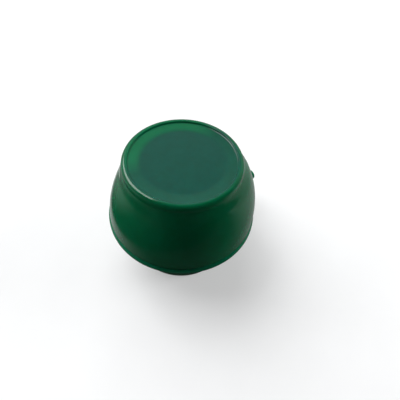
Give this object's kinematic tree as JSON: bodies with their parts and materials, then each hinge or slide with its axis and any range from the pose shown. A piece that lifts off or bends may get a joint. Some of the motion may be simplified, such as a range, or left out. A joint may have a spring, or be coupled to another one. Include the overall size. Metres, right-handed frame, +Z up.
{
  "type": "pipette filler bulb",
  "caption": "Squat squeeze bulb on a foot, pressed from the top to fill a pipette held in a soft socket underneath; a side button lets air in to drain it.",
  "frame": {"origin": "on the table under the object, midway between the rim's far side and the tip of the vent button; the axis of the bulb is the vertical line at x = -6 mm", "axes": "+Z up along the axis of the bulb, +X from that axis towards the vent button"},
  "size_m": [0.072, 0.06, 0.0508],
  "materials": {
    "bulb_green": "semi-gloss, slightly translucent dark green elastomer",
    "ring_green": "semi-gloss green moulded plastic",
    "base_green": "satin dark green moulded plastic",
    "valve_white": "natural white moulded plastic",
    "soft_grey": "translucent grey silicone",
    "filter_white": "matt porous membrane",
    "seal_black": "matt black rubber",
    "steel": "bright stainless steel"
  },
  "bodies": {
    "base": {"valve_body": "base_green", "foot_cup": "base_green", "clamp_ring": "ring_green", "nose_nut": "base_green", "foot_screw_1": "steel", "foot_screw_2": "steel", "foot_screw_3": "steel", "pipette_adapter": "soft_grey", "filter_disc": "filter_white", "suction_cage": "valve_white", "exhaust_cap": "valve_white", "exhaust_spring": "steel", "vent_seat": "valve_white", "vent_bush": "valve_white", "vent_spring": "steel", "bulb_wall": "bulb_green"},
    "crown": {"bulb_crown": "bulb_green"},
    "suction_valve": {"suction_ball": "steel"},
    "exhaust_valve": {"exhaust_ball": "steel"},
    "vent_valve": {"vent_button": "ring_green", "vent_stem": "steel", "vent_seal": "seal_black"}
  },
  "joints": [
    {"name": "bulb_press", "type": "slide", "parent": "base", "child": "crown", "axis": [0, 0, -1], "range_m": [0, 0.012], "stiffness_N_per_m": 900, "deforming": ["bulb_wall"]},
    {"name": "vent_press", "type": "slide", "parent": "base", "child": "vent_valve", "axis": [-1, 0, 0], "range_m": [0, 0.001], "stiffness_N_per_m": 400, "springref_m": -0.002, "deforming": ["vent_spring"]},
    {"name": "suction_lift", "type": "slide", "parent": "base", "child": "suction_valve", "axis": [0, 0, 1], "range_m": [0, 0.0012]},
    {"name": "exhaust_open", "type": "slide", "parent": "base", "child": "exhaust_valve", "axis": [0, 0, -1], "range_m": [0, 0.0008], "stiffness_N_per_m": 60, "springref_m": -0.002, "deforming": ["exhaust_spring"]}
  ]
}
